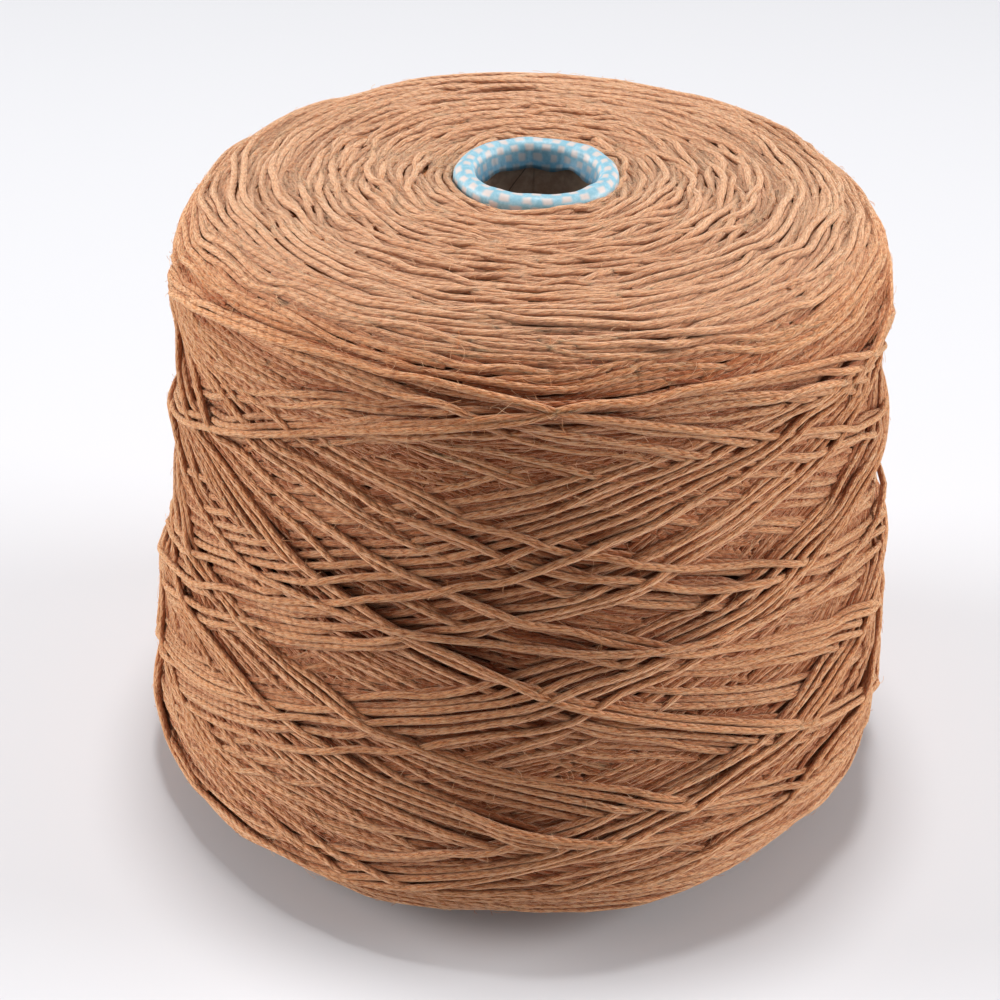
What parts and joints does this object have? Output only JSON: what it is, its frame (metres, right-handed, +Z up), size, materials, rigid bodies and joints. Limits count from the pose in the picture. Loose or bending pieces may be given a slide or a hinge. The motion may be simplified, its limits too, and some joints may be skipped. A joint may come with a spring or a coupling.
{
  "type": "cone of yarn",
  "caption": "Tapered package of cross-wound wool yarn on a conical board tube, with a printed paper band rolled over its open nose.",
  "frame": {"origin": "centre of the cone tube's base, on the surface it stands on", "axes": "+Z up along the tube's axis, towards its nose; -Y faces the viewer"},
  "size_m": [0.202, 0.202, 0.17],
  "materials": {
    "board": "matt",
    "printed_paper": "satin print, blue with a cream check",
    "yarn": "matt wool, slightly fuzzy"
  },
  "bodies": {
    "root": {"paper_cone": "board", "nose_wrap": "printed_paper", "wound_yarn": "yarn"}
  },
  "joints": []
}
